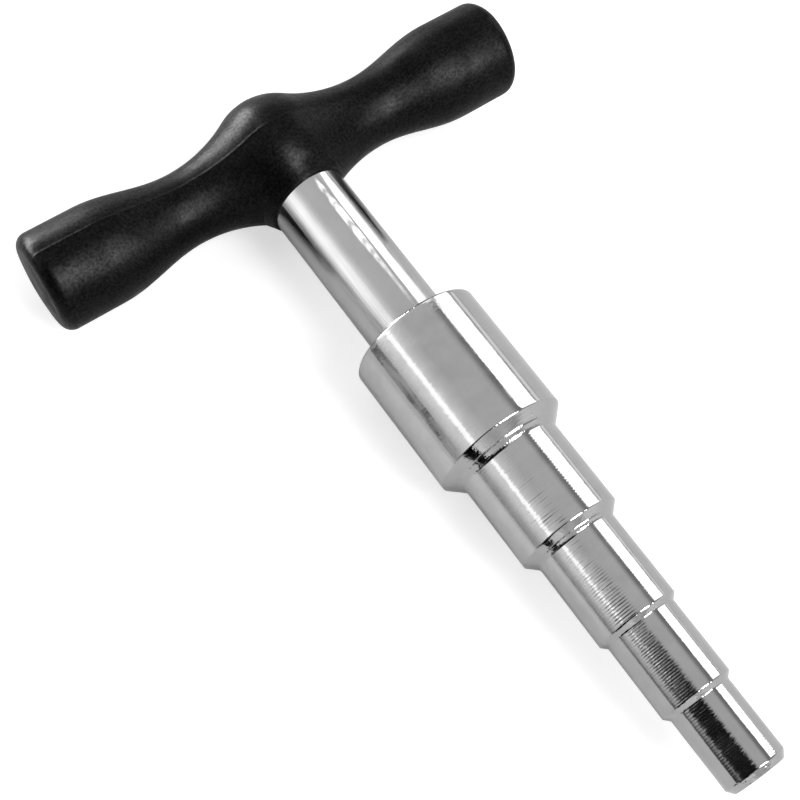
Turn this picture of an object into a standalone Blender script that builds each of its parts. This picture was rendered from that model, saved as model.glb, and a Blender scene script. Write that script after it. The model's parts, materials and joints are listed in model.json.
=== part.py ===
# Stepped pipe-sizing mandrel with a moulded T-grip, lying on its side.
# Metres, +Z up. X runs along the grip, Y runs from the mandrel's tip to the grip.
# The origin is under the middle of the tool, on the surface it lies on.

import math

import bmesh
import bpy

# Gap left between pieces that touch
CLEARANCE = 0.0003

# Mandrel: five steps from the tip, each with a diameter and the length of its cylinder
STEP_1_DIAMETER = 0.012
STEP_1_LENGTH = 0.0138
STEP_2_DIAMETER = 0.014
STEP_2_LENGTH = 0.0145
STEP_3_DIAMETER = 0.016
STEP_3_LENGTH = 0.0167
STEP_4_DIAMETER = 0.020
STEP_4_LENGTH = 0.0171
STEP_5_DIAMETER = 0.026
STEP_5_LENGTH = 0.0267
LEAD_IN_ANGLE = math.radians(45.0)
TIP_CHAMFER_RUN = 0.0013
TIP_CHAMFER_DROP = 0.0010
EDGE_BREAK = 0.0004

# Shank: drawn bar with a spigot in the mandrel and a cross hole inside the grip
SHANK_DIAMETER = 0.0157
SHANK_REACH = 0.04695
SHANK_SEAT_DEPTH = 0.0010
SHANK_END_WALL = 0.0020
SPIGOT_DIAMETER = 0.010
SPIGOT_LENGTH = 0.018
SPIGOT_LEAD = 0.0010

# Cross bar inside the grip
CROSS_BAR_DIAMETER = 0.008
CROSS_BAR_CHAMFER = 0.0008

# Grip: walls over the metal, then the outline from the hub out to one end
HUB_WALL = 0.0024
WAIST_WALL = 0.0030
WAIST_FROM_AXIS = 0.0212
FLARE_LENGTH = 0.0190
FLARE_RISE = 0.0028
END_LENGTH = 0.0124
END_CROWN = 0.0006
END_WALL = 0.0090
END_ROUNDING = 0.0025

# Facets
ROUND_SEGMENTS = 48
CROWN_POINTS = 3
BALL_POINTS = 4
NECK_POINTS = 6
FLARE_POINTS = 10
ROUNDING_POINTS = 5
AXIS_MERGE = 0.00001
CRISP_ANGLE = math.radians(25.0)
CUT_MARGIN = 0.0020

# Sizes worked out from the ones above
SHANK_RADIUS = SHANK_DIAMETER / 2
SPIGOT_RADIUS = SPIGOT_DIAMETER / 2
CROSS_BAR_RADIUS = CROSS_BAR_DIAMETER / 2
CROSS_HOLE_RADIUS = CROSS_BAR_RADIUS + CLEARANCE
SHANK_BORE_RADIUS = SHANK_RADIUS + CLEARANCE
SHANK_SHOULDER = CLEARANCE - SHANK_SEAT_DEPTH
SHANK_HEAD = CROSS_HOLE_RADIUS + SHANK_END_WALL
BORE_HEAD = SHANK_HEAD + CLEARANCE
HUB_RADIUS = math.hypot(SHANK_BORE_RADIUS, BORE_HEAD) + HUB_WALL
WAIST_RADIUS = CROSS_HOLE_RADIUS + WAIST_WALL
END_RADIUS = WAIST_RADIUS + FLARE_RISE
FLARE_END = WAIST_FROM_AXIS + FLARE_LENGTH
GRIP_HALF_LENGTH = FLARE_END + END_LENGTH + END_CROWN
CROSS_BORE_HALF_LENGTH = GRIP_HALF_LENGTH - END_WALL
CROSS_BAR_HALF_LENGTH = CROSS_BORE_HALF_LENGTH - CLEARANCE
STEPS = (
    (STEP_1_DIAMETER / 2, STEP_1_LENGTH),
    (STEP_2_DIAMETER / 2, STEP_2_LENGTH),
    (STEP_3_DIAMETER / 2, STEP_3_LENGTH),
    (STEP_4_DIAMETER / 2, STEP_4_LENGTH),
    (STEP_5_DIAMETER / 2, STEP_5_LENGTH),
)


def step_outline():
    """Outer outline of the mandrel as (radius, height) from the tip up to its rear edge."""
    radius, length = STEPS[0]
    height = TIP_CHAMFER_RUN
    outline = [(radius - TIP_CHAMFER_DROP, 0.0), (radius, height)]
    height += length
    outline.append((radius, height))
    for next_radius, length in STEPS[1:]:
        height += abs(next_radius - radius) / math.tan(LEAD_IN_ANGLE)
        outline.append((next_radius, height))
        height += length
        outline.append((next_radius, height))
        radius = next_radius
    return outline


MANDREL_LENGTH = step_outline()[-1][1]
BAR_AXIS = MANDREL_LENGTH + SHANK_REACH
TOOL_LENGTH = BAR_AXIS + max(HUB_RADIUS, END_RADIUS)
AXIS_HEIGHT = max(HUB_RADIUS, END_RADIUS, *(radius for radius, _ in STEPS))


def clear_scene():
    """Start from an empty scene."""
    for item in list(bpy.data.objects):
        bpy.data.objects.remove(item, do_unlink=True)


def new_collection(name):
    """A collection linked to the scene."""
    collection = bpy.data.collections.new(name)
    bpy.context.scene.collection.children.link(collection)
    return collection


def tool_axis(collection):
    """An empty at the mandrel's tip whose Z axis runs along the tool to the grip."""
    axis = bpy.data.objects.new("tool_axis", None)
    axis.location = (0.0, -TOOL_LENGTH / 2, AXIS_HEIGHT)
    axis.rotation_euler = (-math.pi / 2, 0.0, 0.0)
    collection.objects.link(axis)
    return axis


def plain_material(name, colour, roughness, metallic):
    """One Principled material."""
    material = bpy.data.materials.new(name)
    material.use_nodes = True
    shader = material.node_tree.nodes["Principled BSDF"]
    shader.inputs["Base Color"].default_value = (*colour, 1.0)
    shader.inputs["Roughness"].default_value = roughness
    shader.inputs["Metallic"].default_value = metallic
    return material


def turned(name, profile, collection, axis, height, across=False):
    """Turn (radius, height) points, listed top to bottom, about the tool's axis or across it."""
    mesh = bpy.data.meshes.new(name)
    outline = bmesh.new()
    corners = [outline.verts.new((radius, 0.0, level)) for radius, level in profile]
    for upper, lower in zip(corners, corners[1:]):
        outline.edges.new((upper, lower))
    outline.to_mesh(mesh)
    outline.free()
    piece = bpy.data.objects.new(name, mesh)
    collection.objects.link(piece)
    piece.parent = axis
    piece.location = (0.0, 0.0, height)
    if across:
        piece.rotation_euler = (0.0, math.pi / 2, 0.0)
    screw = piece.modifiers.new("turn", "SCREW")
    screw.axis = "Z"
    screw.steps = ROUND_SEGMENTS
    screw.render_steps = ROUND_SEGMENTS
    screw.use_merge_vertices = True
    screw.merge_threshold = AXIS_MERGE
    return piece


def cutter(name, radius, top, bottom, collection, axis, height, across=False):
    """A plain round cutter, kept out of the model."""
    profile = [(0.0, top), (radius, top), (radius, bottom), (0.0, bottom)]
    piece = turned(name, profile, collection, axis, height, across)
    piece.hide_render = True
    piece.display_type = "WIRE"
    return piece


def cut(piece, tool):
    """Take a cutter away from a piece."""
    boolean = piece.modifiers.new("cut by " + tool.name, "BOOLEAN")
    boolean.operation = "DIFFERENCE"
    boolean.solver = "EXACT"
    boolean.object = tool


def finish(piece, material):
    """Fix the modifiers into the mesh and shade it smooth between crisp edges."""
    graph = bpy.context.evaluated_depsgraph_get()
    mesh = bpy.data.meshes.new_from_object(piece.evaluated_get(graph))
    piece.modifiers.clear()
    piece.data = mesh
    mesh.materials.clear()
    mesh.materials.append(material)
    mesh.shade_smooth()
    mesh.set_sharp_from_angle(angle=CRISP_ANGLE)


def make_mandrel(collection, axis):
    """Five steps on one turned body. Its rear face has a shallow seat and a blind socket."""
    socket_radius = SPIGOT_RADIUS + CLEARANCE
    seat_floor = MANDREL_LENGTH - SHANK_SEAT_DEPTH
    socket_floor = seat_floor - SPIGOT_LENGTH
    rear_radius = STEPS[-1][0]
    profile = [
        (0.0, socket_floor),
        (socket_radius, socket_floor),
        (socket_radius, seat_floor),
        (SHANK_BORE_RADIUS, seat_floor),
        (SHANK_BORE_RADIUS, MANDREL_LENGTH),
        (rear_radius - EDGE_BREAK, MANDREL_LENGTH),
        (rear_radius, MANDREL_LENGTH - EDGE_BREAK),
    ]
    profile += reversed(step_outline()[:-1])
    profile.append((0.0, 0.0))
    piece = turned("stepped_mandrel", profile, collection, axis, 0.0)
    finish(piece, plain_material("nickel_plated_steel", (0.62, 0.62, 0.61), 0.22, 1.0))


def make_shank(collection, cutters, axis):
    """Drawn bar from its seat in the mandrel's rear face to past the cross bar."""
    head = SHANK_REACH - SHANK_SHOULDER + SHANK_HEAD
    profile = [
        (0.0, head),
        (SHANK_RADIUS - EDGE_BREAK, head),
        (SHANK_RADIUS, head - EDGE_BREAK),
        (SHANK_RADIUS, EDGE_BREAK),
        (SHANK_RADIUS - EDGE_BREAK, 0.0),
        (SPIGOT_RADIUS, 0.0),
        (SPIGOT_RADIUS, SPIGOT_LEAD - SPIGOT_LENGTH),
        (SPIGOT_RADIUS - SPIGOT_LEAD, -SPIGOT_LENGTH),
        (0.0, -SPIGOT_LENGTH),
    ]
    piece = turned("shank", profile, collection, axis, MANDREL_LENGTH + SHANK_SHOULDER)
    reach = SHANK_RADIUS + CUT_MARGIN
    hole = cutter("cross_hole", CROSS_HOLE_RADIUS, reach, -reach, cutters, axis, BAR_AXIS, True)
    cut(piece, hole)
    finish(piece, plain_material("nickel_plated_drawn_steel", (0.66, 0.66, 0.65), 0.16, 1.0))


def make_cross_bar(collection, axis):
    """Chamfered bar through the shank, inside both arms."""
    half = CROSS_BAR_HALF_LENGTH
    rim = CROSS_BAR_RADIUS - CROSS_BAR_CHAMFER
    shoulder = half - CROSS_BAR_CHAMFER
    profile = [
        (0.0, half),
        (rim, half),
        (CROSS_BAR_RADIUS, shoulder),
        (CROSS_BAR_RADIUS, -shoulder),
        (rim, -half),
        (0.0, -half),
    ]
    piece = turned("cross_bar", profile, collection, axis, BAR_AXIS, True)
    finish(piece, plain_material("bare_drawn_steel", (0.45, 0.45, 0.44), 0.35, 1.0))


def arm_outline():
    """Outline of one arm as (radius, distance from the hub's middle), from its end inwards."""
    rounding = min(END_ROUNDING, END_LENGTH, END_RADIUS)
    face_radius = END_RADIUS - rounding
    rim = GRIP_HALF_LENGTH - END_CROWN
    outline = []
    for index in range(CROWN_POINTS):
        share = index / CROWN_POINTS
        outline.append((face_radius * share, GRIP_HALF_LENGTH - END_CROWN * share ** 2))
    for index in range(ROUNDING_POINTS + 1):
        turn = math.pi / 2 * index / ROUNDING_POINTS
        radius = face_radius + rounding * math.sin(turn)
        outline.append((radius, rim - rounding * (1.0 - math.cos(turn))))
    # A soft S from the straight end down to the waist
    for index in range(FLARE_POINTS + 1):
        share = 1.0 - index / FLARE_POINTS
        radius = WAIST_RADIUS + FLARE_RISE * (1.0 - math.cos(math.pi * share)) / 2
        outline.append((radius, WAIST_FROM_AXIS + FLARE_LENGTH * share))
    # A hollow arc, level at the waist, runs up to meet the ball of the hub
    squares = WAIST_FROM_AXIS ** 2 + WAIST_RADIUS ** 2 - HUB_RADIUS ** 2
    neck = squares / (2.0 * (HUB_RADIUS - WAIST_RADIUS))
    meeting = math.asin(WAIST_FROM_AXIS / (HUB_RADIUS + neck))
    for index in range(1, NECK_POINTS + 1):
        turn = meeting * index / NECK_POINTS
        radius = WAIST_RADIUS + neck * (1.0 - math.cos(turn))
        outline.append((radius, WAIST_FROM_AXIS - neck * math.sin(turn)))
    for index in range(1, BALL_POINTS + 1):
        turn = meeting * (1.0 - index / BALL_POINTS)
        outline.append((HUB_RADIUS * math.cos(turn), HUB_RADIUS * math.sin(turn)))
    return outline


def make_grip(collection, cutters, axis):
    """Moulded grip turned about the bar's axis, bored for the shank and the cross bar."""
    arm = arm_outline()
    profile = arm + [(radius, -distance) for radius, distance in reversed(arm[:-1])]
    piece = turned("t_grip", profile, collection, axis, BAR_AXIS, True)
    mouth = -HUB_RADIUS - CUT_MARGIN
    bore = cutter("shank_bore", SHANK_BORE_RADIUS, BORE_HEAD, mouth, cutters, axis, BAR_AXIS)
    half = CROSS_BORE_HALF_LENGTH
    slot = cutter("cross_bore", CROSS_HOLE_RADIUS, half, -half, cutters, axis, BAR_AXIS, True)
    cut(piece, bore)
    cut(piece, slot)
    finish(piece, plain_material("black_moulded_plastic", (0.018, 0.018, 0.018), 0.45, 0.0))


def main():
    clear_scene()
    parts = new_collection("stepped_sizing_mandrel")
    cutters = new_collection("cutters")
    axis = tool_axis(parts)
    make_mandrel(parts, axis)
    make_shank(parts, cutters, axis)
    make_cross_bar(parts, axis)
    make_grip(parts, cutters, axis)


main()
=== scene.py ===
# Looks of a stepped pipe-sizing mandrel: plated steps on a drawn shank, and a black T-grip.
# Metres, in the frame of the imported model: the tool lies along Y with its tip at -Y.

import json
import math

import bmesh
import bpy
from mathutils import Matrix, Vector

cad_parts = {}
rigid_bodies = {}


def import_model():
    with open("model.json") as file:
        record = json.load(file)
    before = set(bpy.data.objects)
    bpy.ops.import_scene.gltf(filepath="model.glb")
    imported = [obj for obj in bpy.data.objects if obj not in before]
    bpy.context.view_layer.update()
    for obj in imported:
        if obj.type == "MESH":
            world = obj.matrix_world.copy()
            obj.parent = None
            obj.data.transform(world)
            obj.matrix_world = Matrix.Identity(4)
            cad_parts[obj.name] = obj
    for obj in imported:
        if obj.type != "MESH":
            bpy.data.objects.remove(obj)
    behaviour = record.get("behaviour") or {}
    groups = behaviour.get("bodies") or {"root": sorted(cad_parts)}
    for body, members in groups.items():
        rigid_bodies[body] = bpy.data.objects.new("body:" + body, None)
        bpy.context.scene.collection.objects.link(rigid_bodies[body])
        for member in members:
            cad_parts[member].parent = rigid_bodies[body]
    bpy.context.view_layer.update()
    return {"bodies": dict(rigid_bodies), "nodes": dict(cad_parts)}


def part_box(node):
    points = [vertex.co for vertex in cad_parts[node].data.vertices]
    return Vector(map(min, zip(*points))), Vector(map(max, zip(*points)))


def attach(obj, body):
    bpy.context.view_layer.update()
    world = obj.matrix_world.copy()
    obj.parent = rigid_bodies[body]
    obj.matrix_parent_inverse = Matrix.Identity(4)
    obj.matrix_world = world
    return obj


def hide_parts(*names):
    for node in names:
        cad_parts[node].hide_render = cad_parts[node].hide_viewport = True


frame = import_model()
mm = 0.001

kept = set(frame["nodes"].values()) | set(frame["bodies"].values())
for item in list(bpy.data.objects):
    if item not in kept:
        bpy.data.objects.remove(item, do_unlink=True)

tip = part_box("stepped_mandrel")[0].y          # the mandrel's end face
axisHeight = sum(v.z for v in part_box("stepped_mandrel")) / 2
barAxis = sum(v.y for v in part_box("cross_bar")) / 2   # where the grip crosses the shank
print("frame loaded:", ", ".join(sorted(frame["nodes"])))


def addNode(tree, kind, inputs=None, **settings):
    node = tree.nodes.new(kind)
    for name, value in settings.items():
        setattr(node, name, value)
    for socket, value in (inputs or {}).items():
        if isinstance(value, bpy.types.NodeSocket):
            tree.links.new(value, node.inputs[socket])
        else:
            node.inputs[socket].default_value = value
    return node


def hexColour(code):
    parts = [int(code[i:i + 2], 16) / 255 for i in (1, 3, 5)]
    linear = [c / 12.92 if c <= 0.04045 else ((c + 0.055) / 1.055) ** 2.4 for c in parts]
    return (*linear, 1.0)


def newMaterial(name):
    material = bpy.data.materials.new(name)
    material.use_nodes = True
    return material, material.node_tree, material.node_tree.nodes["Principled BSDF"]


noiseSpan = (0.35, 0.65)     # most values of a noise texture lie between these
noiseReach = (0.3, 0.7)      # and nearly all of them between these


# Steel, turned on a lathe and bright nickel plated: a hard mirror over feed marks, with faint
# cloudy patches in its gloss, a few dark pits, uneven cones and edges, and scratches by the tip.
# Real marks and scratches are too fine to show, so these are drawn coarser. The scratches are
# only on the upper left, where the photograph shows a comb-like edge.
turnedNickel = {
    "colour": "#bcbcbc",
    "shade": "#a8a8a8",
    "roughness": (0.05, 0.12),
    "cloudSize": 3.5 * mm,
    "markLength": 4.0 * mm,
    "markSpacing": 0.22 * mm,
    "markHeight": 0.002 * mm,
    "waveSize": 0.5 * mm,
    "waveHeight": 0.005 * mm,
    "coneWaveHeight": 0.018 * mm,
    "coneSlope": (0.3, 0.6),             # lean of a face along the axis, from a step to a cone
    "edgeWaveHeight": 0.075 * mm,
    "edgeSlope": 0.48,                   # the same lean in the middle of a rounded edge
    "edgeFade": (0.05, 0.2),
    "scratchLength": 1.2 * mm,
    "scratchSpacing": 0.22 * mm,
    "scratchTilt": (0.055, 0.015),       # by the tip, and away from it
    "scratchFade": (28.0 * mm, 55.0 * mm),
    "scratchSide": (-0.5, 0.2, 0.33),    # sideways lean of scratched faces: middle, full and end
    "pitSpacing": 5.5 * mm,
    "pitSize": (0.027, 0.045),           # core and rim, as shares of the spacing
    "pitColour": "#747474",
}


def makeTurnedNickel(look):
    material, tree, shader = newMaterial("nickel plated turned steel")
    spot = addNode(tree, "ShaderNodeTexCoord").outputs
    place = spot["Object"]
    cloud = addNode(tree, "ShaderNodeTexNoise", {
        "Vector": place, "Scale": 1 / look["cloudSize"], "Detail": 3.0}).outputs["Fac"]
    pits = addNode(tree, "ShaderNodeTexVoronoi", {
        "Vector": place, "Scale": 1 / look["pitSpacing"]})
    pitCore, pitRim = look["pitSize"]
    pit = addNode(tree, "ShaderNodeMapRange", {
        "Value": pits.outputs["Distance"], "From Min": pitCore,
        "From Max": pitRim}).outputs["Result"]
    plated = addNode(tree, "ShaderNodeMix", {
        "Factor": cloud, "A": hexColour(look["shade"]), "B": hexColour(look["colour"])},
        data_type="RGBA")
    colour = addNode(tree, "ShaderNodeMix", {
        "Factor": pit, "A": hexColour(look["pitColour"]), "B": plated.outputs["Result"]},
        data_type="RGBA")
    rough = addNode(tree, "ShaderNodeMapRange", {
        "Value": cloud, "From Min": noiseSpan[0], "From Max": noiseSpan[1],
        "To Min": look["roughness"][0], "To Max": look["roughness"][1]})
    across = 1 / look["markLength"]
    stretched = addNode(tree, "ShaderNodeMapping", {
        "Vector": place, "Scale": (across, 1 / look["markSpacing"], across)})
    marks = addNode(tree, "ShaderNodeTexNoise", {
        "Vector": stretched.outputs["Vector"], "Scale": 1.0, "Detail": 1.0}).outputs["Fac"]
    waves = addNode(tree, "ShaderNodeTexNoise", {
        "Vector": place, "Scale": 1 / look["waveSize"], "Detail": 1.0}).outputs["Fac"]
    facing = addNode(tree, "ShaderNodeSeparateXYZ", {0: spot["Normal"]}).outputs
    slope = addNode(tree, "ShaderNodeMath", {0: facing["Y"]}, operation="ABSOLUTE").outputs[0]
    onCone = addNode(tree, "ShaderNodeMapRange", {
        "Value": slope, "From Min": look["coneSlope"][0], "From Max": look["coneSlope"][1],
        "To Min": look["waveHeight"], "To Max": look["coneWaveHeight"]}).outputs["Result"]
    fromEdge = addNode(tree, "ShaderNodeMath", {
        0: slope, 1: look["edgeSlope"]}, operation="SUBTRACT").outputs[0]
    offEdge = addNode(tree, "ShaderNodeMath", {0: fromEdge}, operation="ABSOLUTE").outputs[0]
    onEdge = addNode(tree, "ShaderNodeMapRange", {
        "Value": offEdge, "From Min": look["edgeFade"][0], "From Max": look["edgeFade"][1],
        "To Min": look["edgeWaveHeight"], "To Max": 0.0}).outputs["Result"]
    waveHeight = addNode(tree, "ShaderNodeMath", {0: onCone, 1: onEdge}).outputs[0]
    fine = addNode(tree, "ShaderNodeBump", {
        "Strength": 1.0, "Distance": look["markHeight"], "Height": marks})
    broad = addNode(tree, "ShaderNodeBump", {
        "Strength": 1.0, "Distance": waveHeight, "Height": waves,
        "Normal": fine.outputs["Normal"]})
    # Scratches lean the surface a little about the axis, on the upper left and most by the tip
    alongStep = addNode(tree, "ShaderNodeSeparateXYZ", {0: place}).outputs["Y"]
    nearTip = addNode(tree, "ShaderNodeMapRange", {
        "Value": alongStep, "From Min": tip + look["scratchFade"][0],
        "From Max": tip + look["scratchFade"][1],
        "To Min": look["scratchTilt"][0], "To Max": look["scratchTilt"][1]}).outputs["Result"]
    sideMiddle, sideFull, sideEnd = look["scratchSide"]
    fromSide = addNode(tree, "ShaderNodeMath", {
        0: facing["X"], 1: sideMiddle}, operation="SUBTRACT").outputs[0]
    offSide = addNode(tree, "ShaderNodeMath", {0: fromSide}, operation="ABSOLUTE").outputs[0]
    leanMost = addNode(tree, "ShaderNodeMapRange", {
        "Value": offSide, "From Min": sideFull, "From Max": sideEnd,
        "To Min": nearTip, "To Max": 0.0}).outputs["Result"]
    leanLeast = addNode(tree, "ShaderNodeMath", {
        0: leanMost, 1: -1.0}, operation="MULTIPLY").outputs[0]
    aroundStep = 1 / look["scratchLength"]
    scratchPlace = addNode(tree, "ShaderNodeMapping", {
        "Vector": place, "Scale": (aroundStep, 1 / look["scratchSpacing"], aroundStep)})
    scratch = addNode(tree, "ShaderNodeTexNoise", {
        "Vector": scratchPlace.outputs["Vector"], "Scale": 1.0, "Detail": 1.0}).outputs["Fac"]
    lean = addNode(tree, "ShaderNodeMapRange", {
        "Value": scratch, "From Min": noiseReach[0], "From Max": noiseReach[1],
        "To Min": leanLeast, "To Max": leanMost}).outputs["Result"]
    aboutAxis = addNode(tree, "ShaderNodeVectorMath", {
        0: (0.0, 1.0, 0.0), 1: broad.outputs["Normal"]}, operation="CROSS_PRODUCT")
    leaned = addNode(tree, "ShaderNodeVectorMath", {
        0: aboutAxis.outputs[0], "Scale": lean}, operation="SCALE")
    scratched = addNode(tree, "ShaderNodeVectorMath", {
        0: broad.outputs["Normal"], 1: leaned.outputs[0]}, operation="ADD")
    surface = addNode(tree, "ShaderNodeVectorMath", {
        0: scratched.outputs[0]}, operation="NORMALIZE")
    shader.inputs["Metallic"].default_value = 1.0
    tree.links.new(colour.outputs["Result"], shader.inputs["Base Color"])
    tree.links.new(rough.outputs["Result"], shader.inputs["Roughness"])
    tree.links.new(surface.outputs[0], shader.inputs["Normal"])
    return material


# Steel bar, cold drawn and bright nickel plated: smoother than the steps, brightest by the grip,
# with faint lines along its length and a slow ripple. The real lines are too fine to show, so
# these are drawn coarser, and deepest on the sides, where the reflection streaks.
drawnNickel = {
    "colour": "#bcbcbc",
    "shade": "#aeaeae",
    "roughness": (0.035, 0.09),
    "patchiness": (0.8, 1.2),
    "polished": (100.0 * mm, 115.0 * mm),    # from the tip
    "cloudSize": 4.0 * mm,
    "lineLength": 25.0 * mm,
    "lineSpacing": 0.12 * mm,
    "lineHeight": (0.004 * mm, 0.028 * mm),  # on the top, and on the sides
    "lineSides": (0.3, 0.6),
    "waveSize": 1.6 * mm,
    "waveHeight": 0.0004 * mm,
}


def makeDrawnNickel(look):
    material, tree, shader = newMaterial("nickel plated drawn steel")
    spot = addNode(tree, "ShaderNodeTexCoord").outputs
    place = spot["Object"]
    cloud = addNode(tree, "ShaderNodeTexNoise", {
        "Vector": place, "Scale": 1 / look["cloudSize"], "Detail": 3.0}).outputs["Fac"]
    plated = addNode(tree, "ShaderNodeMix", {
        "Factor": cloud, "A": hexColour(look["shade"]), "B": hexColour(look["colour"])},
        data_type="RGBA")
    along = addNode(tree, "ShaderNodeSeparateXYZ", {0: place}).outputs["Y"]
    dull = addNode(tree, "ShaderNodeMapRange", {
        "Value": along, "From Min": tip + look["polished"][0],
        "From Max": tip + look["polished"][1],
        "To Min": look["roughness"][1], "To Max": look["roughness"][0]}).outputs["Result"]
    patchy = addNode(tree, "ShaderNodeMapRange", {
        "Value": cloud, "From Min": noiseSpan[0], "From Max": noiseSpan[1],
        "To Min": look["patchiness"][0], "To Max": look["patchiness"][1]})
    rough = addNode(tree, "ShaderNodeMath", {
        0: dull, 1: patchy.outputs["Result"]}, operation="MULTIPLY")
    around = 1 / look["lineSpacing"]
    stretched = addNode(tree, "ShaderNodeMapping", {
        "Vector": place, "Scale": (around, 1 / look["lineLength"], around)})
    lines = addNode(tree, "ShaderNodeTexNoise", {
        "Vector": stretched.outputs["Vector"], "Scale": 1.0, "Detail": 1.0}).outputs["Fac"]
    waves = addNode(tree, "ShaderNodeTexNoise", {
        "Vector": place, "Scale": 1 / look["waveSize"], "Detail": 1.0}).outputs["Fac"]
    facing = addNode(tree, "ShaderNodeSeparateXYZ", {0: spot["Normal"]}).outputs["X"]
    toSide = addNode(tree, "ShaderNodeMath", {0: facing}, operation="ABSOLUTE").outputs[0]
    lineHeight = addNode(tree, "ShaderNodeMapRange", {
        "Value": toSide, "From Min": look["lineSides"][0], "From Max": look["lineSides"][1],
        "To Min": look["lineHeight"][0], "To Max": look["lineHeight"][1]}).outputs["Result"]
    fine = addNode(tree, "ShaderNodeBump", {
        "Strength": 1.0, "Distance": lineHeight, "Height": lines})
    broad = addNode(tree, "ShaderNodeBump", {
        "Strength": 1.0, "Distance": look["waveHeight"], "Height": waves,
        "Normal": fine.outputs["Normal"]})
    shader.inputs["Metallic"].default_value = 1.0
    tree.links.new(plated.outputs["Result"], shader.inputs["Base Color"])
    tree.links.new(rough.outputs[0], shader.inputs["Roughness"])
    tree.links.new(broad.outputs["Normal"], shader.inputs["Normal"])
    return material


# Nylon, filled black and injection moulded: a satin skin with a fine grain and slow changes of
# gloss where it cooled unevenly. The real grain is too fine to show, so this one is coarser.
mouldedNylon = {
    "colour": "#0c0c0c",
    "shade": "#030303",
    "ior": 1.53,
    "roughness": (0.30, 0.45),
    "specular": (0.045, 0.095),
    "cloudSize": 5.0 * mm,
    "waveHeight": 0.14 * mm,
    "grainSize": 0.5 * mm,
    "grainHeight": 0.02 * mm,
}


def makeMouldedNylon(look):
    material, tree, shader = newMaterial("black moulded nylon")
    place = addNode(tree, "ShaderNodeTexCoord").outputs["Object"]
    cloud = addNode(tree, "ShaderNodeTexNoise", {
        "Vector": place, "Scale": 1 / look["cloudSize"], "Detail": 4.0}).outputs["Fac"]
    grain = addNode(tree, "ShaderNodeTexNoise", {
        "Vector": place, "Scale": 1 / look["grainSize"], "Detail": 3.0}).outputs["Fac"]
    speck = addNode(tree, "ShaderNodeMapRange", {
        "Value": grain, "From Min": noiseSpan[0], "From Max": noiseSpan[1]}).outputs["Result"]
    colour = addNode(tree, "ShaderNodeMix", {
        "Factor": speck, "A": hexColour(look["shade"]), "B": hexColour(look["colour"])},
        data_type="RGBA")
    rough = addNode(tree, "ShaderNodeMapRange", {
        "Value": cloud, "From Min": noiseSpan[0], "From Max": noiseSpan[1],
        "To Min": look["roughness"][0], "To Max": look["roughness"][1]})
    sheen = addNode(tree, "ShaderNodeMapRange", {
        "Value": speck, "To Min": look["specular"][0], "To Max": look["specular"][1]})
    waves = addNode(tree, "ShaderNodeBump", {
        "Strength": 1.0, "Distance": look["waveHeight"], "Height": cloud})
    skin = addNode(tree, "ShaderNodeBump", {
        "Strength": 1.0, "Distance": look["grainHeight"], "Height": grain,
        "Normal": waves.outputs["Normal"]})
    shader.inputs["IOR"].default_value = look["ior"]
    tree.links.new(sheen.outputs["Result"], shader.inputs["Specular IOR Level"])
    tree.links.new(colour.outputs["Result"], shader.inputs["Base Color"])
    tree.links.new(rough.outputs["Result"], shader.inputs["Roughness"])
    tree.links.new(skin.outputs["Normal"], shader.inputs["Normal"])
    return material


# Bare cold-drawn steel: grey, half bright, with fine lines along the bar
bareSteel = {
    "colour": "#b3b3b1",
    "shade": "#9a9a98",
    "roughness": (0.28, 0.4),
    "lineLength": 18.0 * mm,
    "lineSpacing": 0.3 * mm,
}


def makeBareSteel(look):
    material, tree, shader = newMaterial("bare drawn steel")
    place = addNode(tree, "ShaderNodeTexCoord").outputs["Object"]
    around = 1 / look["lineSpacing"]
    stretched = addNode(tree, "ShaderNodeMapping", {
        "Vector": place, "Scale": (1 / look["lineLength"], around, around)})
    lines = addNode(tree, "ShaderNodeTexNoise", {
        "Vector": stretched.outputs["Vector"], "Scale": 1.0, "Detail": 2.0}).outputs["Fac"]
    colour = addNode(tree, "ShaderNodeMix", {
        "Factor": lines, "A": hexColour(look["shade"]), "B": hexColour(look["colour"])},
        data_type="RGBA")
    rough = addNode(tree, "ShaderNodeMapRange", {
        "Value": lines, "To Min": look["roughness"][0], "To Max": look["roughness"][1]})
    shader.inputs["Metallic"].default_value = 1.0
    tree.links.new(colour.outputs["Result"], shader.inputs["Base Color"])
    tree.links.new(rough.outputs["Result"], shader.inputs["Roughness"])
    return material


seamGap = 0.0005 * mm        # turned points closer than this become one


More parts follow.
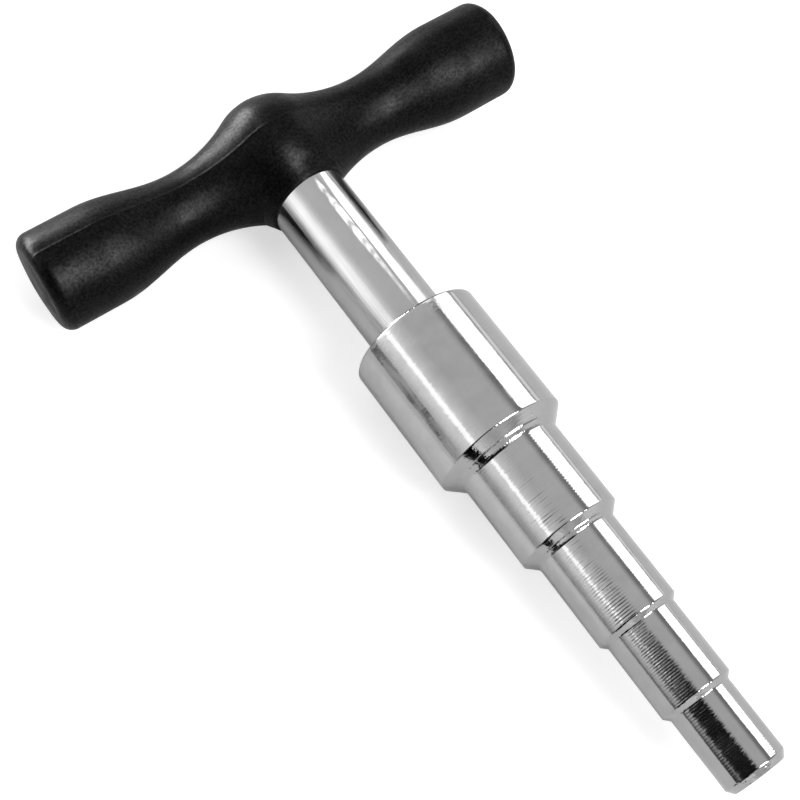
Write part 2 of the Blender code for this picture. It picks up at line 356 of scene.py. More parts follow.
# Lathe: turns an outline of (radius, height) points about the tool's axis. The cutting tool's
# feed leaves one spiral groove, so the radius follows a sine of the feed and the angle, and
# chatter makes some passes deeper than others.
def makeLatheTree():
    tree = bpy.data.node_groups.new("lathe", "GeometryNodeTree")
    for name, kind in (("Outline", "Geometry"), ("Segments", "Int"), ("Chatter", "Float"),
                       ("Chatter Length", "Float"), ("Material", "Material")):
        tree.interface.new_socket(name, in_out="INPUT", socket_type="NodeSocket" + kind)
    tree.interface.new_socket("Turned", in_out="OUTPUT", socket_type="NodeSocketGeometry")
    given = addNode(tree, "NodeGroupInput").outputs
    rows = addNode(tree, "GeometryNodeAttributeDomainSize", {
        "Geometry": given["Outline"]}, component="MESH").outputs["Point Count"]
    columns = addNode(tree, "ShaderNodeMath", {0: given["Segments"], 1: 1.0}).outputs[0]
    grid = addNode(tree, "GeometryNodeMeshGrid", {"Vertices X": rows, "Vertices Y": columns})
    index = addNode(tree, "GeometryNodeInputIndex").outputs[0]
    share = addNode(tree, "ShaderNodeMath", {0: index, 1: columns}, operation="DIVIDE")
    row = addNode(tree, "ShaderNodeMath", {0: share.outputs[0]}, operation="FLOOR").outputs[0]
    column = addNode(tree, "ShaderNodeMath", {0: index, 1: columns}, operation="MODULO")
    turn = addNode(tree, "ShaderNodeMath", {
        0: column.outputs[0], 1: given["Segments"]}, operation="DIVIDE").outputs[0]
    angle = addNode(tree, "ShaderNodeMath", {0: turn, 1: math.tau}, operation="MULTIPLY")
    cosine = addNode(tree, "ShaderNodeMath", {0: angle.outputs[0]}, operation="COSINE").outputs[0]
    sine = addNode(tree, "ShaderNodeMath", {0: angle.outputs[0]}, operation="SINE").outputs[0]

    point = addNode(tree, "GeometryNodeInputPosition").outputs[0]
    place = addNode(tree, "GeometryNodeSampleIndex", {
        "Geometry": given["Outline"], "Value": point, "Index": row}, data_type="FLOAT_VECTOR")
    outline = addNode(tree, "ShaderNodeSeparateXYZ", {0: place.outputs[0]}).outputs
    sampled = {}
    for name in ("grooveDepth", "feedTurns"):
        named = addNode(tree, "GeometryNodeInputNamedAttribute", {"Name": name}).outputs[0]
        sampled[name] = addNode(tree, "GeometryNodeSampleIndex", {
            "Geometry": given["Outline"], "Value": named, "Index": row}).outputs[0]

    along = addNode(tree, "ShaderNodeMath", {
        0: outline["X"], 1: given["Chatter Length"]}, operation="DIVIDE").outputs[0]
    noiseX = addNode(tree, "ShaderNodeMath", {0: along, 1: cosine}, operation="MULTIPLY")
    noiseZ = addNode(tree, "ShaderNodeMath", {0: along, 1: sine}, operation="MULTIPLY")
    noisePlace = addNode(tree, "ShaderNodeCombineXYZ", {
        "X": noiseX.outputs[0], "Y": sampled["feedTurns"], "Z": noiseZ.outputs[0]})
    noise = addNode(tree, "ShaderNodeTexNoise", {
        "Vector": noisePlace.outputs[0], "Scale": 1.0, "Detail": 1.0})
    least = addNode(tree, "ShaderNodeMath", {0: 1.0, 1: given["Chatter"]}, operation="SUBTRACT")
    most = addNode(tree, "ShaderNodeMath", {0: 1.0, 1: given["Chatter"]})
    chatter = addNode(tree, "ShaderNodeMapRange", {
        "Value": noise.outputs[0], "From Min": noiseReach[0], "From Max": noiseReach[1],
        "To Min": least.outputs[0], "To Max": most.outputs[0]}, clamp=False)

    spiral = addNode(tree, "ShaderNodeMath", {0: sampled["feedTurns"], 1: turn})
    phase = addNode(tree, "ShaderNodeMath", {
        0: spiral.outputs[0], 1: math.tau}, operation="MULTIPLY")
    wave = addNode(tree, "ShaderNodeMath", {0: phase.outputs[0]}, operation="SINE")
    depth = addNode(tree, "ShaderNodeMath", {
        0: sampled["grooveDepth"], 1: chatter.outputs[0]}, operation="MULTIPLY")
    radius = addNode(tree, "ShaderNodeMath", {
        0: wave.outputs[0], 1: depth.outputs[0], 2: outline["X"]}, operation="MULTIPLY_ADD")
    side = addNode(tree, "ShaderNodeMath", {0: radius.outputs[0], 1: cosine}, operation="MULTIPLY")
    up = addNode(tree, "ShaderNodeMath", {0: radius.outputs[0], 1: sine}, operation="MULTIPLY")
    spot = addNode(tree, "ShaderNodeCombineXYZ", {
        "X": side.outputs[0], "Y": outline["Y"], "Z": up.outputs[0]})
    turned = addNode(tree, "GeometryNodeSetPosition", {
        "Geometry": grid.outputs["Mesh"], "Position": spot.outputs[0]})
    closed = addNode(tree, "GeometryNodeMergeByDistance", {
        "Geometry": turned.outputs[0], "Distance": seamGap})
    smooth = addNode(tree, "GeometryNodeSetShadeSmooth", {"Geometry": closed.outputs[0]})
    real = addNode(tree, "GeometryNodeRealizeInstances", {"Geometry": smooth.outputs[0]})
    dressed = addNode(tree, "GeometryNodeSetMaterial", {
        "Geometry": real.outputs[0], "Material": given["Material"]})
    addNode(tree, "NodeGroupOutput", {"Turned": dressed.outputs[0]})
    return tree


latheTree = makeLatheTree()


def turnOutline(name, outline, segments, chatter, chatterLength, material):
    # Outline points are (radius, height, groove depth, turns of the feed so far), in millimetres
    mesh = bpy.data.meshes.new(name)
    mesh.from_pydata([(point[0] * mm, point[1] * mm, 0.0) for point in outline], [], [])
    depths = mesh.attributes.new("grooveDepth", "FLOAT", "POINT")
    depths.data.foreach_set("value", [point[2] * mm for point in outline])
    turns = mesh.attributes.new("feedTurns", "FLOAT", "POINT")
    turns.data.foreach_set("value", [point[3] for point in outline])
    piece = bpy.data.objects.new(name, mesh)
    bpy.context.scene.collection.objects.link(piece)
    lathe = piece.modifiers.new("lathe", "NODES")
    lathe.node_group = latheTree
    sockets = {s.name: s.identifier for s in latheTree.interface.items_tree if s.in_out == "INPUT"}
    lathe[sockets["Segments"]] = segments
    lathe[sockets["Chatter"]] = chatter
    lathe[sockets["Chatter Length"]] = chatterLength * mm
    lathe[sockets["Material"]] = material
    graph = bpy.context.evaluated_depsgraph_get()
    turned = bpy.data.meshes.new_from_object(piece.evaluated_get(graph))
    piece.modifiers.clear()
    piece.data = turned
    turned.transform(Matrix.Translation((0.0, tip, axisHeight)))
    return piece


plain = (1.0, 0.0)           # feed and groove depth of a stretch without grooves


def roundCorners(corners, points=4):
    # Corners are (radius, height, rounding, feed, groove depth): each one becomes a short arc,
    # and the feed marks belong to the stretch that follows it
    path = []
    for i, (r, h, rounding, feed, depth) in enumerate(corners):
        here = Vector((r, h))
        if rounding == 0.0:
            path.append((here, feed, depth))
            continue
        back = (Vector(corners[i - 1][:2]) - here).normalized()
        on = (Vector(corners[i + 1][:2]) - here).normalized()
        for k in range(points + 1):
            t = k / points
            spot = here + back * rounding * (1 - t) ** 2 + on * rounding * t ** 2
            path.append((spot, feed, depth if k == points else 0.0))
    return path


def fillPath(path, spacing, perTurn=8):
    # Adds points along each stretch: a few for each turn of the feed where there are grooves
    filled = []
    turns = 0.0
    for (a, feed, depth), (b, _, _) in zip(path, path[1:]):
        length = (b - a).length
        count = max(1, math.ceil(length / (feed / perTurn if depth else spacing)))
        for k in range(count):
            p = a.lerp(b, k / count)
            filled.append((p.x, p.y, depth if k else 0.0, turns + length * k / count / feed))
        turns += length / feed
    filled.append((*path[-1][0], 0.0, turns))
    return filled


# Mandrel: five steps with 45 degree lead-ins, as long and as wide as the CAD's, in millimetres.
# Each step is (diameter, length, feed, groove depth). The widest one shows no grooves, and the
# others' depths are given.
mandrel = {
    "steps": ((12.0, 13.8, 0.50, 0.0012), (14.0, 14.5, 0.47, 0.0011), (16.0, 16.7, 0.525, 0.0023),
              (20.0, 17.1, 0.59, 0.0048), (26.0, 26.7, 0.60, 0.0)),
    "tipChamfer": (1.3, 1.0),
    "rearBreak": 0.4,
    "rearEdge": 0.1,
    "rimEdge": 0.16,
    "footShare": 0.14,               # rounding at a cone's foot, as a share of the cone's rise
    "coneFeed": 0.8,
    "coneFootDepth": 0.003,
    "coneRimDepth": 0.002,
    "markedRise": 1.5,               # taller cones have a tool mark
    "coneMark": (0.29, 0.09, 30.0),  # its start and height as shares of the rise, and its slope
    "markReturn": 1 / 3,
    "markEdge": 0.03,
    "seat": (7.87, 1.0),
    "socket": (5.05, 18.0),
    "segments": 80,
    "spacing": 0.6,
    "chatter": 0.9,
    "chatterLength": 1.3,
}


def makeMandrel(look, material):
    rim, coneFeed = look["rimEdge"], look["coneFeed"]
    run, drop = look["tipChamfer"]
    markStart, markRun, markSlope = look["coneMark"]
    diameter, length, feed, depth = look["steps"][0]
    radius = diameter / 2
    height = run + length
    corners = [(0.0, 0.0, 0.0, *plain),
               (radius - drop, 0.0, rim, coneFeed, look["coneRimDepth"]),
               (radius, run, rim, feed, depth)]
    for diameter, length, feed, depth in look["steps"][1:]:
        rise = diameter / 2 - radius
        foot = rise * look["footShare"]
        corners.append((radius, height, foot, coneFeed, look["coneFootDepth"]))
        if rise > look["markedRise"]:
            low, high = rise * markStart, rise * (markStart + markRun)
            step = (high - low) * math.tan(math.radians(markSlope))
            edge, back = look["markEdge"], step * look["markReturn"]
            for r, h, rounding, groove in ((low, low, edge, 0.0), (low + step, high, edge, 0.0),
                                           (high, high + back, 0.0, look["coneRimDepth"])):
                corners.append((radius + r, height + h, rounding, coneFeed, groove))
        radius = diameter / 2
        corners.append((radius, height + rise, rim, feed, depth))
        height += rise + length
    seatRadius, seatDepth = look["seat"]
    socketRadius, socketDepth = look["socket"]
    floor = height - seatDepth
    rear, edge = look["rearBreak"], look["rearEdge"]
    for r, h, rounding in (
            (radius, height - rear, edge), (radius - rear, height, edge),
            (seatRadius, height, 0.0), (seatRadius, floor, 0.0), (socketRadius, floor, 0.0),
            (socketRadius, floor - socketDepth, 0.0), (0.0, floor - socketDepth, 0.0)):
        corners.append((r, h, rounding, *plain))
    outline = fillPath(roundCorners(corners), look["spacing"])
    return turnOutline("mandrel", outline, look["segments"], look["chatter"],
                       look["chatterLength"], material)


# Shank: plain bar from its seat in the mandrel to past the cross bar, in millimetres from the tip
shank = {
    "diameter": 15.7,
    "spigot": (10.0, 18.0),
    "spigotChamfer": 1.0,
    "spigotGap": 0.1,
    "start": 96.13,
    "startBreak": 0.1,
    "end": 150.35,
    "edge": 0.4,
    "segments": 96,
    "spacing": 1.5,
    "chatter": 0.0,
    "chatterLength": 1.0,
}


def makeShank(look, material):
    radius = look["diameter"] / 2
    spigotRadius, spigotLength = look["spigot"][0] / 2, look["spigot"][1]
    chamfer, seatBreak = look["spigotChamfer"], look["startBreak"]
    start, end = look["start"], look["end"]
    foot = start - spigotLength + look["spigotGap"]
    corners = [(r, h, rounding, *plain) for r, h, rounding in (
        (0.0, foot, 0.0),
        (spigotRadius - chamfer, foot, 0.0),
        (spigotRadius, foot + chamfer, 0.0),
        (spigotRadius, start, 0.0),
        (radius - seatBreak, start, 0.0),
        (radius, start + seatBreak, 0.0),
        (radius, end, look["edge"]),
        (0.0, end, 0.0),
    )]
    outline = fillPath(roundCorners(corners), look["spacing"])
    return turnOutline("shank_bar", outline, look["segments"], look["chatter"],
                       look["chatterLength"], material)


# Grip: ball hub and two waisted arms turned about the bar's axis, in millimetres. The mould's
# parting line is a faint crease with a thin ridge along the top and the underside, rubbed down
# on the right arm, and a lip runs down the shank.
grip = {
    "hubRadius": 12.887,
    "waistRadius": 7.3,
    "waistFromAxis": 21.2,
    "flareLength": 19.0,
    "flareRise": 2.8,
    "endLength": 12.4,
    "endCrown": 0.6,
    "endRounding": 2.5,
    "boreRadius": 7.9,
    "boreHead": 6.6,
    "borePast": 4.0,
    "ridgeHeight": 0.09,
    "ridgeWidth": 0.3,
    "ridgeRubbed": 0.15,
    "rubbedFrom": (3.0, 12.0),
    "creaseHeight": 0.25,
    "creaseAngle": 28.0,
    "halfHeight": 13.0,              # nothing stands below the widest step
    "lip": ((10.6, 7.2), (10.0, 8.1), (9.5, 9.0), (9.05, 9.8), (8.75, 10.4), (8.55, 10.8),
            (8.45, 11.05), (8.3, 11.25), (8.1, 11.35)),
    "lipLean": 0.055,
    "pitch": 0.7,
    "rows": {"face": 8, "rounding": 12, "neck": 24, "hub": 12},
    "ridgeAngles": (0.0, 0.7, 1.4, 2.1, 2.9, 3.9, 5.2, 7.0),   # degrees from a ridge
    "panels": 20,                    # from there to the side
    "sharpAngle": 30.0,
}


def gripOutline(look):
    # (radius, distance from the hub's middle) from the end of one arm to the hub's middle
    endRadius = look["waistRadius"] + look["flareRise"]
    flareEnd = look["waistFromAxis"] + look["flareLength"]
    rim = flareEnd + look["endLength"]
    rounding = look["endRounding"]
    face = endRadius - rounding
    rows = look["rows"]
    outline = []
    for k in range(rows["face"]):
        share = k / rows["face"]
        outline.append((face * share, rim + look["endCrown"] * (1 - share ** 2)))
    for k in range(rows["rounding"] + 1):
        turn = math.pi / 2 * k / rows["rounding"]
        outline.append((face + rounding * math.sin(turn), rim - rounding * (1 - math.cos(turn))))
    straight = rim - rounding - flareEnd
    count = math.ceil(straight / look["pitch"])
    outline += [(endRadius, rim - rounding - straight * k / count) for k in range(1, count)]
    count = math.ceil(look["flareLength"] / look["pitch"])
    for k in range(count + 1):
        share = 1 - k / count
        radius = look["waistRadius"] + look["flareRise"] * (1 - math.cos(math.pi * share)) / 2
        outline.append((radius, look["waistFromAxis"] + look["flareLength"] * share))
    hub, waist, reach = look["hubRadius"], look["waistRadius"], look["waistFromAxis"]
    neck = (reach ** 2 + waist ** 2 - hub ** 2) / (2 * (hub - waist))
    meeting = math.asin(reach / (hub + neck))
    for k in range(1, rows["neck"] + 1):
        turn = meeting * k / rows["neck"]
        outline.append((waist + neck * (1 - math.cos(turn)), reach - neck * math.sin(turn)))
    for k in range(1, rows["hub"] + 1):
        turn = meeting * (1 - k / rows["hub"])
        outline.append((hub * math.cos(turn), hub * math.sin(turn)))
    return outline


def turnedAboutShank(name, profile, segments=128):
    # A closed shape from rings of (radius, distance from the hub's middle towards the tip)
    solid = bmesh.new()
    rings = []
    for r, d in profile:
        rings.append([solid.verts.new((r * mm * math.cos(math.tau * k / segments), -d * mm,
                                       r * mm * math.sin(math.tau * k / segments)))
                      for k in range(segments)])
    for a, b in zip(rings, rings[1:]):
        for k in range(segments):
            solid.faces.new((a[k], a[k - 1], b[k - 1], b[k]))
    solid.faces.new(rings[0])
    solid.faces.new(rings[-1])
    bmesh.ops.recalc_face_normals(solid, faces=solid.faces[:])
    mesh = bpy.data.meshes.new(name)
    solid.to_mesh(mesh)
    solid.free()
    shape = bpy.data.objects.new(name, mesh)
    bpy.context.scene.collection.objects.link(shape)
    return shape


def makeGrip(look, material):
    arm = gripOutline(look)
    outline = arm + [(r, -d) for r, d in reversed(arm[:-1])]
    near, panels = list(look["ridgeAngles"]), look["panels"]
    panel = (90.0 - near[-1]) / panels
    quarter = near + [near[-1] + panel * k for k in range(1, panels + 1)]
    half = quarter + [180.0 - a for a in reversed(quarter[:-1])]
    angles = half + [360.0 - a for a in reversed(half[1:-1])]
    endRadius = look["waistRadius"] + look["flareRise"]
    rubStart, rubEnd = look["rubbedFrom"]
    shell = bmesh.new()
    rings = []
    for r, d in outline[1:-1]:
        ring = []
        rubbed = min(1.0, max(0.0, (d - rubStart) / (rubEnd - rubStart)))
        ridge = look["ridgeHeight"] * (1.0 - (1.0 - look["ridgeRubbed"]) * rubbed)
        for a in angles:
            fromRidge = min(a, abs(a - 180.0), 360.0 - a)
            arc = math.radians(fromRidge) * r
            fade = min(1.0, max(0.0, (r - endRadius + look["endRounding"]) / look["endRounding"]))
            if abs(d) < look["waistFromAxis"] + look["flareLength"]:
                fade = 1.0
            proud = ridge * math.exp(-(arc / look["ridgeWidth"]) ** 2)
            proud += look["creaseHeight"] * max(0.0, 1.0 - fromRidge / look["creaseAngle"])
            room = look["halfHeight"] - r
            high = r + fade * proud * min(1.0, room / (look["ridgeHeight"] + look["creaseHeight"]))
            turn = math.radians(a)
            ring.append(shell.verts.new((d, high * math.sin(turn), high * math.cos(turn))))
        rings.append(ring)
    for a, b in zip(rings, rings[1:]):
        for k in range(len(angles)):
            j = (k + 1) % len(angles)
            shell.faces.new((a[k], a[j], b[j], b[k]))
    for ring, d in ((rings[0], outline[0][1]), (rings[-1], outline[-1][1])):
        pole = shell.verts.new((d, 0.0, 0.0))
        for k in range(len(angles)):
            shell.faces.new((ring[k], ring[(k + 1) % len(angles)], pole))
    bmesh.ops.recalc_face_normals(shell, faces=shell.faces[:])
    mesh = bpy.data.meshes.new("moulded_grip")
    shell.to_mesh(mesh)
    shell.free()
    mesh.transform(Matrix.Scale(mm, 4))
    piece = bpy.data.objects.new("moulded_grip", mesh)
    bpy.context.scene.collection.objects.link(piece)

    # The lip is joined on, then the bore for the shank is cut up to a little past the cross bar
    lip = turnedAboutShank("lip", look["lip"])
    for corner in lip.data.vertices:
        corner.co.y += look["lipLean"] * corner.co.x
    boreRadius, boreHead = look["boreRadius"], look["boreHead"]
    boreMouth = look["hubRadius"] + look["borePast"]
    bore = turnedAboutShank("bore", ((boreRadius, -boreHead), (boreRadius, boreMouth)))
    for tool, operation in ((lip, "UNION"), (bore, "DIFFERENCE")):
        step = piece.modifiers.new(tool.name, "BOOLEAN")
        step.operation = operation
        step.solver = "EXACT"
        step.object = tool
    graph = bpy.context.evaluated_depsgraph_get()
    bored = bpy.data.meshes.new_from_object(piece.evaluated_get(graph))
    piece.modifiers.clear()
    piece.data = bored
    for tool in (lip, bore):
        bpy.data.objects.remove(tool, do_unlink=True)
    bored.materials.clear()
    bored.materials.append(material)
    bored.shade_smooth()
    bored.set_sharp_from_angle(angle=math.radians(look["sharpAngle"]))
    bored.transform(Matrix.Translation((0.0, barAxis, axisHeight)))
    return piece


turnedSteel = makeTurnedNickel(turnedNickel)
drawnSteel = makeDrawnNickel(drawnNickel)
blackNylon = makeMouldedNylon(mouldedNylon)
greySteel = makeBareSteel(bareSteel)
print("materials made")

for piece, node, slot in (
    (makeMandrel(mandrel, turnedSteel), "stepped_mandrel", "turned_plated_steel"),
    (makeShank(shank, drawnSteel), "shank", "drawn_plated_steel"),
    (makeGrip(grip, blackNylon), "t_grip", "grip_plastic"),
):
    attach(piece, "root")
    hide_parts(node)
    print(node, "dressed:", len(piece.data.polygons), "faces")

crossBar = frame["nodes"]["cross_bar"]       # hidden in the grip, so its CAD shape stays
crossBar.data.materials.clear()
crossBar.data.materials.append(greySteel)


# Camera, fitted to the photograph's frame of 800 x 800
camera = {
    "place": (-0.07879, -0.06770, 0.23294),
    "right": (0.81665, -0.57457, 0.05424),
    "up": (0.50280, 0.75446, 0.42188),
    "lens": 60.19,
    "sensor": 36.0,
    "clipStart": 0.01,
}


def makeCamera(look):
    data = bpy.data.cameras.new("camera")
    data.sensor_width = look["sensor"]
    data.lens = look["lens"]
    data.clip_start = look["clipStart"]
    eye = bpy.data.objects.new("camera", data)
    bpy.context.scene.collection.objects.link(eye)
    right, up = Vector(look["right"]).normalized(), Vector(look["up"]).normalized()
    turn = Matrix((right, up, right.cross(up))).transposed()
    eye.matrix_world = Matrix.Translation(look["place"]) @ turn.to_4x4()
    bpy.context.scene.camera = eye


# Floor: a white paper sheet that keeps the shadow and stays white in the picture.
# Reflections also show a painted pool of light on it, a glow to the left of the widest steps.
paper = {
    "size": 8.0,
    "cells": 8,
    "colour": "#d8d8d8",
    "lift": 0.60,
    "liftInGloss": (0.08, 0.27),     # away from the pool, and in it
    "poolMiddle": (-0.065, -0.002, 0.0),
    "poolReach": (0.02, 0.055),
}


def makeFloor(look):
    sheet = bmesh.new()
    bmesh.ops.create_grid(
        sheet, x_segments=look["cells"], y_segments=look["cells"], size=look["size"])
    mesh = bpy.data.meshes.new("paper_floor")
    sheet.to_mesh(mesh)
    sheet.free()
    floor = bpy.data.objects.new("paper_floor", mesh)
    bpy.context.scene.collection.objects.link(floor)
    material, tree, shader = newMaterial("white paper")
    tree.nodes.remove(shader)
    path = addNode(tree, "ShaderNodeLightPath").outputs
    mirrored = addNode(tree, "ShaderNodeMath", {
        0: path["Is Glossy Ray"], 1: path["Is Transmission Ray"]}, operation="MAXIMUM")
    place = addNode(tree, "ShaderNodeTexCoord").outputs["Object"]
    fromPool = addNode(tree, "ShaderNodeVectorMath", {
        0: place, 1: look["poolMiddle"]}, operation="DISTANCE").outputs["Value"]
    # Painted pool of light: the floor glows brighter in reflections near the widest steps
    pool = addNode(tree, "ShaderNodeMapRange", {
        "Value": fromPool, "From Min": look["poolReach"][0], "From Max": look["poolReach"][1],
        "To Min": look["liftInGloss"][1], "To Max": look["liftInGloss"][0]},
        interpolation_type="SMOOTHSTEP").outputs["Result"]
    inGloss = addNode(tree, "ShaderNodeMath", {
        0: mirrored.outputs[0], 1: pool}, operation="MULTIPLY")
    lift = addNode(tree, "ShaderNodeMath", {
        0: path["Is Camera Ray"], 1: look["lift"], 2: inGloss.outputs[0]},
        operation="MULTIPLY_ADD")
    matt = addNode(tree, "ShaderNodeBsdfDiffuse", {"Color": hexColour(look["colour"])})
    glow = addNode(tree, "ShaderNodeEmission", {"Strength": lift.outputs[0]})
    both = addNode(tree, "ShaderNodeAddShader", {0: matt.outputs[0], 1: glow.outputs[0]})
    tree.links.new(both.outputs[0], tree.nodes["Material Output"].inputs["Surface"])
    mesh.materials.append(material)


# Studio dome, by the angle round the tool's axis: 0 is the horizon on the right, 90 is overhead
# and 180 is the horizon on the left. Five bands follow each other from the tip's end to the
# grip's end: a pale front, one with a black card on the left, a soft glow with a bright strip,
# a wide bright strip and a dim back. Each change is (start, end, lead) in the Y part of the way:
# on the left, past leadTurn's shares of the half turn, it comes earlier by its lead. The stops
# are set against brightness profiles, to give the metal the photograph's reflections.
dome = {
    "bands": (
        ((0, 0.95), (14, 0.9), (21, 0.66), (28, 0.42), (45, 0.58), (59, 0.68), (82, 0.62),
         (108, 0.55), (133, 0.64), (152, 0.76), (165, 0.95), (174, 1.05), (180, 1.1)),
        ((0, 0.75), (3, 0.75), (6, 0.95), (9, 0.9), (13, 0.5), (47, 0.25), (54, 0.3),
         (61, 0.57), (66, 0.66), (91, 0.66), (97, 0.5), (102, 0.15), (106, 0.012), (146, 0.01),
         (152, 0.02), (160, 0.05), (164, 0.16), (166, 0.3), (168.5, 0.16), (172, 0.06),
         (180, 0.03)),
        ((0, 0.7), (3, 0.75), (6, 1.25), (9, 1.25), (11, 0.7), (13, 0.5), (47, 0.25),
         (54, 0.3), (61, 0.6), (66, 0.7), (110, 0.68),
         (121, 0.8), (132, 0.98), (137, 1.15), (139.5, 2.0), (145.5, 2.0), (148, 1.2),
         (155, 1.12), (162, 0.95), (172, 0.6), (180, 0.5)),
        ((0, 0.8), (13, 0.6), (48, 1.0), (51, 1.0), (68, 0.74), (110, 0.78), (121, 0.95),
         (133, 1.3), (141, 2.0), (153, 2.0), (162, 1.4), (172, 0.57), (180, 0.4)),
        ((0, 0.4), (90, 0.5), (180, 0.4)),
    ),
    "changes": ((-0.80, -0.62, 0.0), (0.03, 0.13, 0.08), (0.35, 0.40, 0.0), (0.47, 0.54, 0.0)),
    "leadTurn": (0.84, 0.95),
    "brightest": 2.0,
    "strength": 2.26,
    "backdrop": "#ffffff",           # what the camera sees past the floor's edge
}


def makeDome(look):
    world = bpy.data.worlds.new("studio")
    bpy.context.scene.world = world
    world.use_nodes = True
    tree = world.node_tree
    way = addNode(tree, "ShaderNodeTexCoord").outputs["Generated"]
    part = addNode(tree, "ShaderNodeSeparateXYZ", {0: way}).outputs
    angle = addNode(tree, "ShaderNodeMath", {0: part["Z"], 1: part["X"]}, operation="ARCTAN2")
    turn = addNode(tree, "ShaderNodeMath", {
        0: angle.outputs[0], 1: math.pi}, operation="DIVIDE").outputs[0]
    light = None
    for i, band in enumerate(look["bands"]):
        ramp = addNode(tree, "ShaderNodeValToRGB", {0: turn})
        stops = ramp.color_ramp.elements
        stops.remove(stops[1])
        for k, (degrees, bright) in enumerate(band):
            stop = stops[0] if k == 0 else stops.new(degrees / 180)
            stop.position = degrees / 180
            stop.color = (*[bright / look["brightest"]] * 3, 1.0)
        if i == 0:
            light = ramp.outputs["Color"]
            continue
        start, end, lead = look["changes"][i - 1]
        early = addNode(tree, "ShaderNodeMapRange", {
            "Value": turn, "From Min": look["leadTurn"][0], "From Max": look["leadTurn"][1],
            "To Min": 0.0, "To Max": lead})
        place = addNode(tree, "ShaderNodeMath", {0: part["Y"], 1: early.outputs["Result"]})
        along = addNode(tree, "ShaderNodeMapRange", {
            "Value": place.outputs[0], "From Min": start, "From Max": end},
            interpolation_type="SMOOTHSTEP")
        light = addNode(tree, "ShaderNodeMix", {
            "Factor": along.outputs["Result"], "A": light, "B": ramp.outputs["Color"]},
            data_type="RGBA").outputs["Result"]
    looking = addNode(tree, "ShaderNodeLightPath").outputs["Is Camera Ray"]
    seen = addNode(tree, "ShaderNodeMix", {
        "Factor": looking, "A": light, "B": hexColour(look["backdrop"])}, data_type="RGBA")
    sky = tree.nodes["Background"]
    sky.inputs["Strength"].default_value = look["strength"]
    tree.links.new(seen.outputs["Result"], sky.inputs["Color"])


# Each soft box: the way to it, its angles wide and high, its turn and its brightness (1 is white).
# The gloss-only ones show in reflections and light nothing else.
softBoxes = {
    "distance": 2.0,
    "endOn": 0.6,                    # past this a box stands at the tool's end, its width level
    "boxes": {
        "right": {"way": (0.847, 0.20, 0.503), "wide": 36.0, "high": 30.5, "turn": 8.0,
                  "bright": 2.6, "glossOnly": False},
        "back": {"way": (-0.32, 0.935, 0.15), "wide": 48.0, "high": 22.0, "turn": 0.0,
                 "bright": 26.0, "glossOnly": True},
        "fill": {"way": (0.36, 0.93, 0.06), "wide": 22.0, "high": 11.0, "turn": 0.0,
                 "bright": 1.8, "glossOnly": True},
        "key": {"way": (0.25, -0.67, 0.69), "wide": 19.0, "high": 42.0, "turn": 0.0,
                "bright": 9.2, "glossOnly": False},
        "glint": {"way": (0.265, -0.66, 0.69), "wide": 19.0, "high": 36.0, "turn": 0.0,
                  "bright": 15.0, "glossOnly": True},
    },
}


def makeSoftBoxes(look):
    middle, distance = Vector((0.0, 0.0, axisHeight)), look["distance"]
    for name, box in look["boxes"].items():
        data = bpy.data.lights.new(name, "AREA")
        data.shape = "RECTANGLE"
        data.size = 2 * distance * math.tan(math.radians(box["wide"] / 2))
        data.size_y = 2 * distance * math.tan(math.radians(box["high"] / 2))
        data.energy = box["bright"] * math.pi * data.size * data.size_y
        lamp = bpy.data.objects.new(name, data)
        bpy.context.scene.collection.objects.link(lamp)
        way = Vector(box["way"]).normalized()
        across = (Vector((0.0, 1.0, 0.0)) - way * way.y).normalized()   # width along the tool
        if abs(way.y) > look["endOn"]:
            across = Vector((0.0, 0.0, 1.0)).cross(way).normalized()
        across = Matrix.Rotation(math.radians(box["turn"]), 3, way) @ across
        turn = Matrix((across, way.cross(across), way)).transposed()
        lamp.matrix_world = Matrix.Translation(middle + way * distance) @ turn.to_4x4()
        lamp.visible_camera = False
        lamp.visible_diffuse = not box["glossOnly"]


# Cards that only reflections see. A low one stands along the left, black by the tip and grey
# towards the grip, then dark grey at its far end, which is painted shadow of the grip's arm for
# the shank to reflect; a mottled one stands nearer, for the dark streak on the widest step. A
# black one lies in front and stands up on the left. A louvred lamp over the right hand side gives
# the broken line down the shank: bars (near, far, degrees wide), in a dimmer frame.
sideCard = {
    "side": -0.20,
    "reach": (-0.12, 0.30),
    "height": 0.026,
    # The last stop, dark grey, is painted shadow of the grip's arm, for the shank to reflect
    "shades": ((-0.09, "#060606"), (-0.01, "#bcbcbc"), (0.106, "#bcbcbc"), (0.135, "#4a4a4a")),
}
mottledCard = {
    "side": -0.19,
    "reach": (0.045, 0.10),
    "height": 0.055,
    "dark": "#1c1c1c",
    "pale": "#cfcfcf",
    "patchSize": 3.5 * mm,
    "patchStretch": 0.1,             # ten times as tall as wide
    "patchSpan": (0.38, 0.55),
}
frontCard = {
    "left": ((-0.085, -0.088), (-0.175, -0.210), (-0.450, -0.400)),
    "right": ((-0.032, -0.088), (-0.075, -0.215), (-0.200, -0.455)),
    "upright": ((-0.800, -0.400), (-0.200, -0.455)),
    "lift": 1.0 * mm,
    "top": 0.20,
    "colour": "#060606",
}
louvre = {
    "angle": 57.7,
    "distance": 0.9,
    "bars": ((0.524, 0.5275, 8.0), (0.5145, 0.521, 14.0), (0.507, 0.510, 8.0),
             (0.4957, 0.5018, 16.0), (0.470, 0.490, 19.5), (0.447, 0.463, 18.5),
             (0.435, 0.442, 16.5), (0.4255, 0.4305, 14.0), (0.415, 0.4205, 11.5),
             (0.404, 0.4095, 9.0), (0.386, 0.393, 8.0)),
    "bright": 2.8,
}
louvreFrame = {"angle": 56.0, "distance": 0.93, "bars": ((0.36, 0.57, 25.0),), "bright": 0.8}


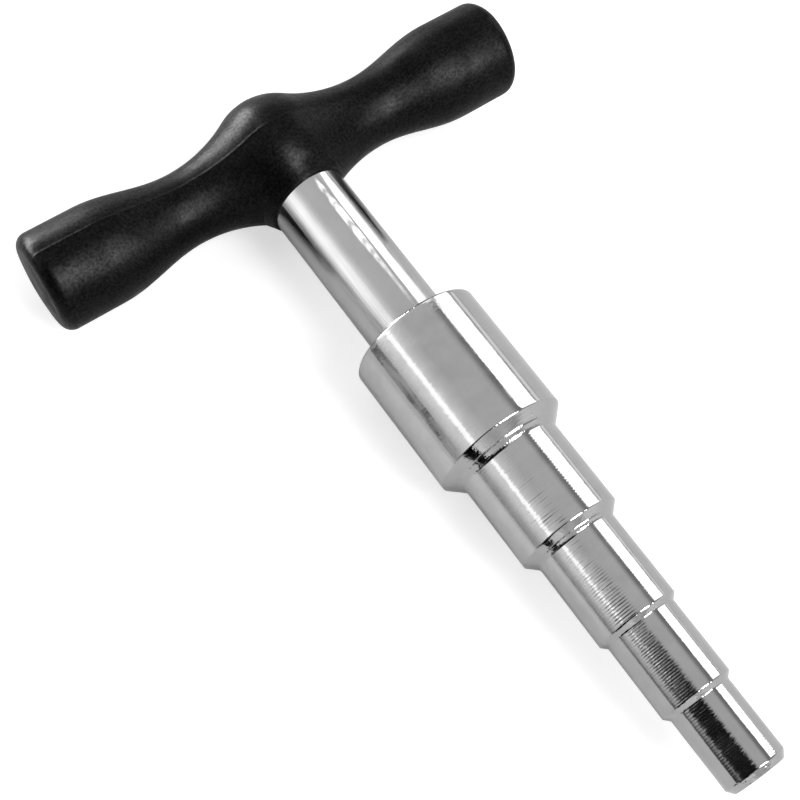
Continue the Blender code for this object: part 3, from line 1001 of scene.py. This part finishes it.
def seenInGlossOnly(name, corners, faces, material):
    mesh = bpy.data.meshes.new(name)
    mesh.from_pydata(corners, [], faces)
    mesh.materials.append(material)
    card = bpy.data.objects.new(name, mesh)
    bpy.context.scene.collection.objects.link(card)
    card.visible_camera = card.visible_diffuse = card.visible_shadow = False
    card.visible_transmission = card.visible_volume_scatter = False


def standAlongLeft(name, look, material):
    corners = [(look["side"], y, z) for z in (0.0, look["height"]) for y in look["reach"]]
    seenInGlossOnly(name, corners, [(0, 1, 3, 2)], material)


def makeSideCard(look):
    material, tree, shader = newMaterial("grey card with painted shadow")
    place = addNode(tree, "ShaderNodeTexCoord").outputs["Object"]
    along = addNode(tree, "ShaderNodeSeparateXYZ", {0: place}).outputs["Y"]
    start, end = look["reach"]
    share = addNode(tree, "ShaderNodeMapRange", {
        "Value": along, "From Min": start, "From Max": end})
    # Black by the tip, grey in the middle, and painted shadow of the grip's arm at the far end
    ramp = addNode(tree, "ShaderNodeValToRGB", {0: share.outputs["Result"]})
    stops = ramp.color_ramp.elements
    stops.remove(stops[1])
    for k, (y, shade) in enumerate(look["shades"]):
        stop = stops[0] if k == 0 else stops.new((y - start) / (end - start))
        stop.position = (y - start) / (end - start)
        stop.color = hexColour(shade)
    tree.links.new(ramp.outputs["Color"], shader.inputs["Base Color"])
    shader.inputs["Roughness"].default_value = 1.0
    standAlongLeft("side_card", look, material)


def makeFrontCard(look):
    material, _, shader = newMaterial("black card")
    shader.inputs["Base Color"].default_value = hexColour(look["colour"])
    shader.inputs["Roughness"].default_value = 1.0
    shader.inputs["Specular IOR Level"].default_value = 0.0
    lift = look["lift"]
    corners = [(*spot, lift) for pair in zip(look["left"], look["right"]) for spot in pair]
    faces = [(k, k + 1, k + 3, k + 2) for k in range(0, len(corners) - 2, 2)]
    first = len(corners)
    corners += [(*spot, z) for z in (lift, look["top"]) for spot in look["upright"]]
    faces.append((first, first + 1, first + 3, first + 2))
    seenInGlossOnly("front_card", corners, faces, material)


def makeMottledCard(look):
    material, tree, shader = newMaterial("mottled card")
    place = addNode(tree, "ShaderNodeTexCoord").outputs["Object"]
    tall = addNode(tree, "ShaderNodeMapping", {
        "Vector": place, "Scale": (1.0, 1.0, look["patchStretch"])})
    patches = addNode(tree, "ShaderNodeTexNoise", {
        "Vector": tall.outputs["Vector"], "Scale": 1 / look["patchSize"],
        "Detail": 2.0}).outputs["Fac"]
    share = addNode(tree, "ShaderNodeMapRange", {
        "Value": patches, "From Min": look["patchSpan"][0], "From Max": look["patchSpan"][1]})
    colour = addNode(tree, "ShaderNodeMix", {
        "Factor": share.outputs["Result"], "A": hexColour(look["dark"]),
        "B": hexColour(look["pale"])}, data_type="RGBA")
    tree.links.new(colour.outputs["Result"], shader.inputs["Base Color"])
    shader.inputs["Roughness"].default_value = 1.0
    standAlongLeft("mottled_card", look, material)


def makeLouvre(name, look):
    material, tree, shader = newMaterial(name + " glow")
    tree.nodes.remove(shader)
    glow = addNode(tree, "ShaderNodeEmission", {"Strength": look["bright"]})
    tree.links.new(glow.outputs[0], tree.nodes["Material Output"].inputs["Surface"])
    corners, faces = [], []
    for near, far, wide in look["bars"]:
        for side, along in ((-1, near), (1, near), (1, far), (-1, far)):
            angle = math.radians(look["angle"] + side * wide / 2)
            corners.append((look["distance"] * math.cos(angle), along,
                            axisHeight + look["distance"] * math.sin(angle)))
        faces.append(tuple(range(len(corners) - 4, len(corners))))
    seenInGlossOnly(name, corners, faces, material)


makeCamera(camera)
makeFloor(paper)
makeDome(dome)
makeSoftBoxes(softBoxes)
makeSideCard(sideCard)
makeFrontCard(frontCard)
makeMottledCard(mottledCard)
makeLouvre("louvre", louvre)
makeLouvre("louvre_frame", louvreFrame)
bpy.context.scene.view_settings.view_transform = "Standard"
print("studio set")
